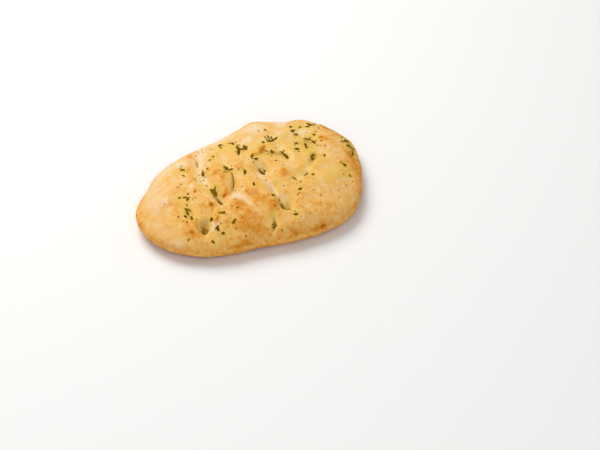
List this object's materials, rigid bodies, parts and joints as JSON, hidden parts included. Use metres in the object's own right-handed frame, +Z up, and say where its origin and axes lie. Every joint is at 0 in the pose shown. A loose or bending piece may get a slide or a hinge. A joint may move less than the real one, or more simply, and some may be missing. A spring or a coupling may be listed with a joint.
{
  "type": "naan bread",
  "caption": "Oval hand-stretched naan, puffed and golden, with finger dimples across its crust and chopped parsley baked on top. Lies flat on a board or plate.",
  "frame": {"origin": "middle of the bread's bounding box, on the flat underside that it rests on", "axes": "+X along the bread's long axis towards its wider end, +Y across it, +Z up"},
  "size_m": [0.219, 0.1564, 0.0337],
  "materials": {
    "crust": "golden baked crust, matte with a faint sheen of oil",
    "parsley": "dried parsley, dark olive green"
  },
  "bodies": {
    "root": {"naan": "crust", "parsley_fleck_01": "parsley", "parsley_fleck_02": "parsley", "parsley_fleck_03": "parsley", "parsley_fleck_04": "parsley", "parsley_fleck_05": "parsley", "parsley_fleck_06": "parsley", "parsley_fleck_07": "parsley", "parsley_fleck_08": "parsley", "parsley_fleck_09": "parsley", "parsley_fleck_10": "parsley", "parsley_fleck_11": "parsley", "parsley_fleck_12": "parsley", "parsley_fleck_13": "parsley", "parsley_fleck_14": "parsley", "parsley_fleck_15": "parsley", "parsley_fleck_16": "parsley", "parsley_fleck_17": "parsley", "parsley_fleck_18": "parsley", "parsley_fleck_19": "parsley", "parsley_fleck_20": "parsley", "parsley_fleck_21": "parsley", "parsley_fleck_22": "parsley", "parsley_fleck_23": "parsley", "parsley_fleck_24": "parsley", "parsley_fleck_25": "parsley", "parsley_fleck_26": "parsley", "parsley_fleck_27": "parsley", "parsley_fleck_28": "parsley", "parsley_fleck_29": "parsley", "parsley_fleck_30": "parsley", "parsley_fleck_31": "parsley", "parsley_frond_01": "parsley", "parsley_frond_02": "parsley", "parsley_frond_03": "parsley", "parsley_frond_04": "parsley", "parsley_frond_05": "parsley", "parsley_frond_06": "parsley", "parsley_frond_07": "parsley", "parsley_frond_08": "parsley", "parsley_frond_09": "parsley", "parsley_frond_10": "parsley", "parsley_frond_11": "parsley", "parsley_strip_01": "parsley", "parsley_strip_02": "parsley", "parsley_strip_03": "parsley", "parsley_strip_04": "parsley", "parsley_strip_05": "parsley", "parsley_strip_06": "parsley", "parsley_strip_07": "parsley", "parsley_strip_08": "parsley", "parsley_strip_09": "parsley", "parsley_strip_10": "parsley", "parsley_strip_11": "parsley", "parsley_strip_12": "parsley", "parsley_strip_13": "parsley", "parsley_strip_14": "parsley", "parsley_strip_15": "parsley", "parsley_strip_16": "parsley", "parsley_strip_17": "parsley"}
  },
  "joints": []
}
